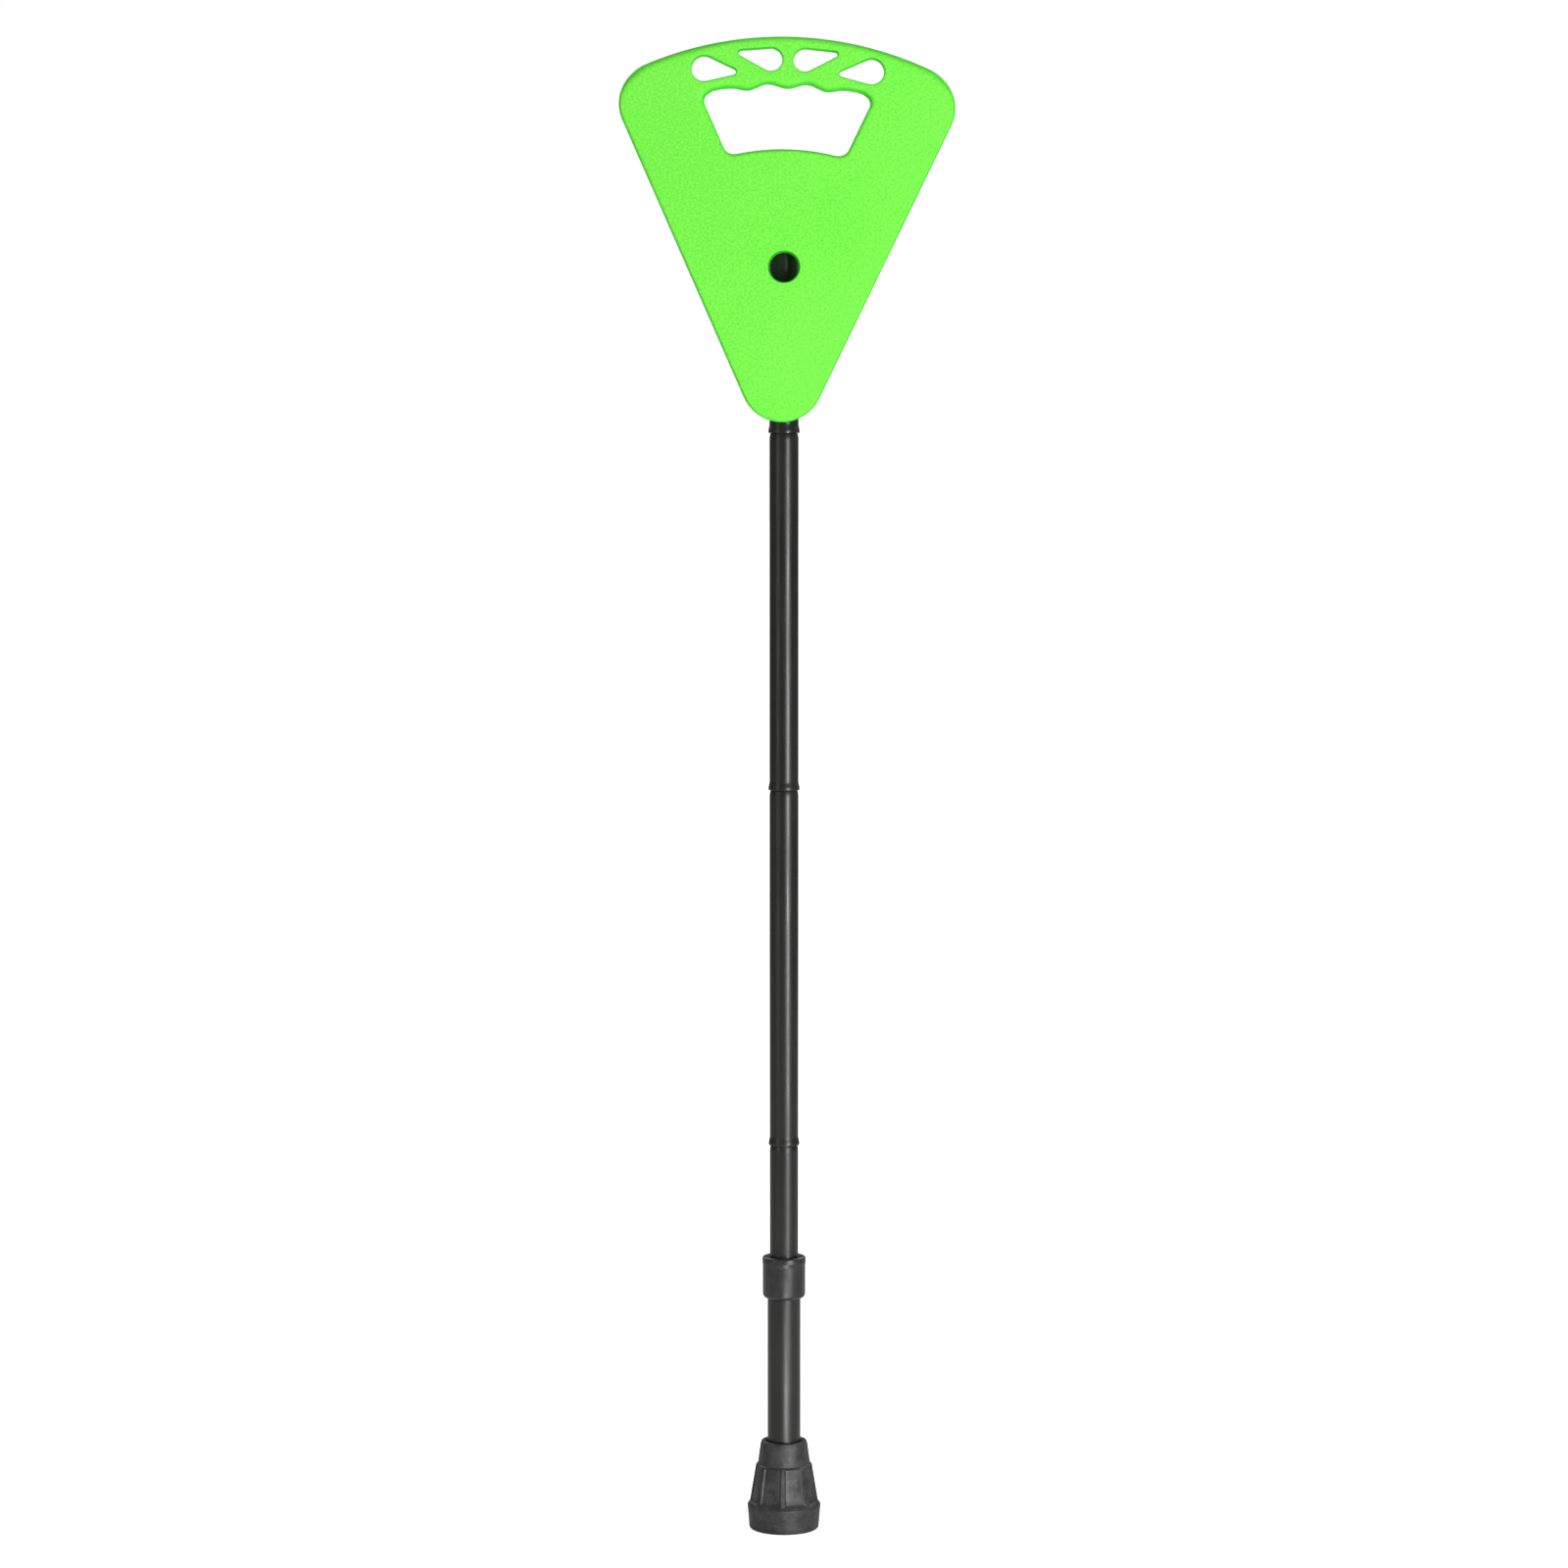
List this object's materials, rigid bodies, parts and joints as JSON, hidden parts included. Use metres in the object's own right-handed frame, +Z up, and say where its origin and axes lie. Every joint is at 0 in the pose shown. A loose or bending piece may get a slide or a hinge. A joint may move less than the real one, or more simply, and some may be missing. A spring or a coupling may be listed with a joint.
{
  "type": "folding walking stick with seat",
  "caption": "Pull-apart walking stick on a rubber foot, with an adjustable leg and a triangular moulded panel that is the hand grip upright and flips level to be a perching seat.",
  "frame": {"origin": "centre of the ground face under the rubber foot, on the shaft's centre line", "axes": "+Z up the shaft, X across the seat panel, -Y out of the panel's front face when the seat is upright"},
  "size_m": [0.2013, 0.0452, 0.9111],
  "materials": {
    "seat_plastic": "bright green moulded plastic with a fine satin grain",
    "black_plastic": "satin black moulded plastic",
    "black_tube": "satin black anodised aluminium tube",
    "bare_aluminium": "drawn aluminium, bare",
    "fastener_steel": "zinc-plated steel",
    "cord_elastic": "braided elastic cord",
    "foot_rubber": "matt dark grey moulded rubber"
  },
  "bodies": {
    "leg": {"outer_tube": "black_tube", "gland_ring": "black_plastic", "ferrule": "foot_rubber", "ferrule_disc": "fastener_steel"},
    "collar": {"locking_collar": "black_plastic"},
    "inner": {"tube_4": "black_tube", "spigot_4": "bare_aluminium", "cord_anchor": "black_plastic", "cord_pin_bottom": "fastener_steel", "button_spring": "fastener_steel", "elastic_cord": "cord_elastic"},
    "button": {"snap_button": "fastener_steel"},
    "section_3": {"tube_3": "black_tube", "spigot_3": "bare_aluminium"},
    "section_2": {"tube_2": "black_tube", "spigot_2": "bare_aluminium"},
    "upper": {"upper_tube": "black_tube", "hinge_head": "black_plastic", "head_rivet": "fastener_steel", "cord_pin_top": "fastener_steel"},
    "seat": {"seat_panel": "seat_plastic", "hinge_bracket": "black_plastic", "bracket_screws": "fastener_steel", "hinge_bolt": "fastener_steel", "hinge_nut": "fastener_steel", "hinge_washer_left": "fastener_steel", "hinge_washer_right": "fastener_steel", "rest_pad": "foot_rubber"}
  },
  "joints": [
    {"name": "collar_twist", "type": "hinge", "parent": "leg", "child": "collar", "pos_m": [0, 0, 0.157], "axis": [0, 0, 1], "range_deg": [0, 120]},
    {"name": "height_adjust", "type": "slide", "parent": "leg", "child": "inner", "axis": [0, 0, 1], "range_m": [0, 0.072]},
    {"name": "button_press", "type": "slide", "parent": "inner", "child": "button", "axis": [0, -1, 0], "range_m": [0, 0.003], "stiffness_N_per_m": 600, "springref_m": -0.004, "deforming": ["button_spring"]},
    {"name": "joint_3_pull", "type": "slide", "parent": "inner", "child": "section_3", "axis": [0, 0, 1], "range_m": [0, 0.045], "stiffness_N_per_m": 120, "springref_m": -0.25, "deforming": ["elastic_cord"]},
    {"name": "joint_2_pull", "type": "slide", "parent": "section_3", "child": "section_2", "axis": [0, 0, 1], "range_m": [0, 0.045], "stiffness_N_per_m": 120, "springref_m": -0.25, "deforming": ["elastic_cord"]},
    {"name": "joint_1_pull", "type": "slide", "parent": "section_2", "child": "upper", "axis": [0, 0, 1], "range_m": [0, 0.045], "stiffness_N_per_m": 120, "springref_m": -0.25, "deforming": ["elastic_cord"]},
    {"name": "seat_flip", "type": "hinge", "parent": "upper", "child": "seat", "pos_m": [0, 0, 0.815], "axis": [-1, 0, 0], "range_deg": [0, 90]}
  ]
}
